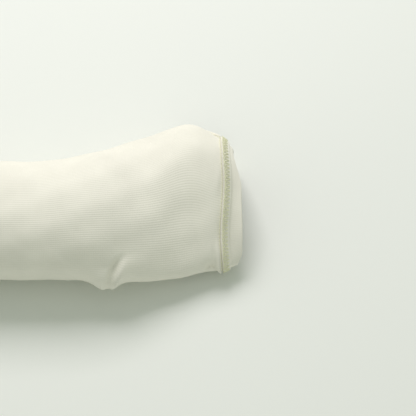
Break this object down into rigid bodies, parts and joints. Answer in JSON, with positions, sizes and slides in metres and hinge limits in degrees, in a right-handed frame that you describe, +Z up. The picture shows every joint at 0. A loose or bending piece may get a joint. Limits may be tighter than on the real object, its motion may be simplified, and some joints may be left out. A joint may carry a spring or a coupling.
{
  "type": "long fingerless glove",
  "caption": "Long off-white jersey fingerless glove for the left arm, worn shape, palm up, with a thumb opening.",
  "frame": {"origin": "on the table under the wrist, at the middle of the flat strip that the glove lies on", "axes": "+X along the arm towards the fingers, +Y to the thumb's side, +Z up from the table"},
  "size_m": [0.45, 0.1173, 0.0855],
  "materials": {
    "jersey": "matte",
    "thread": "soft sheen",
    "elastic": "matte"
  },
  "bodies": {
    "root": {"sleeve": "jersey", "side_seam_thread": "thread", "finger_band": "jersey", "finger_looper_threads": "thread", "finger_needle_thread": "thread", "thumb_binding": "jersey", "thumb_edge_thread": "thread", "thumb_bartack": "thread", "upper_band": "jersey", "upper_elastic": "elastic", "upper_looper_threads": "thread", "upper_needle_thread": "thread"}
  },
  "joints": []
}
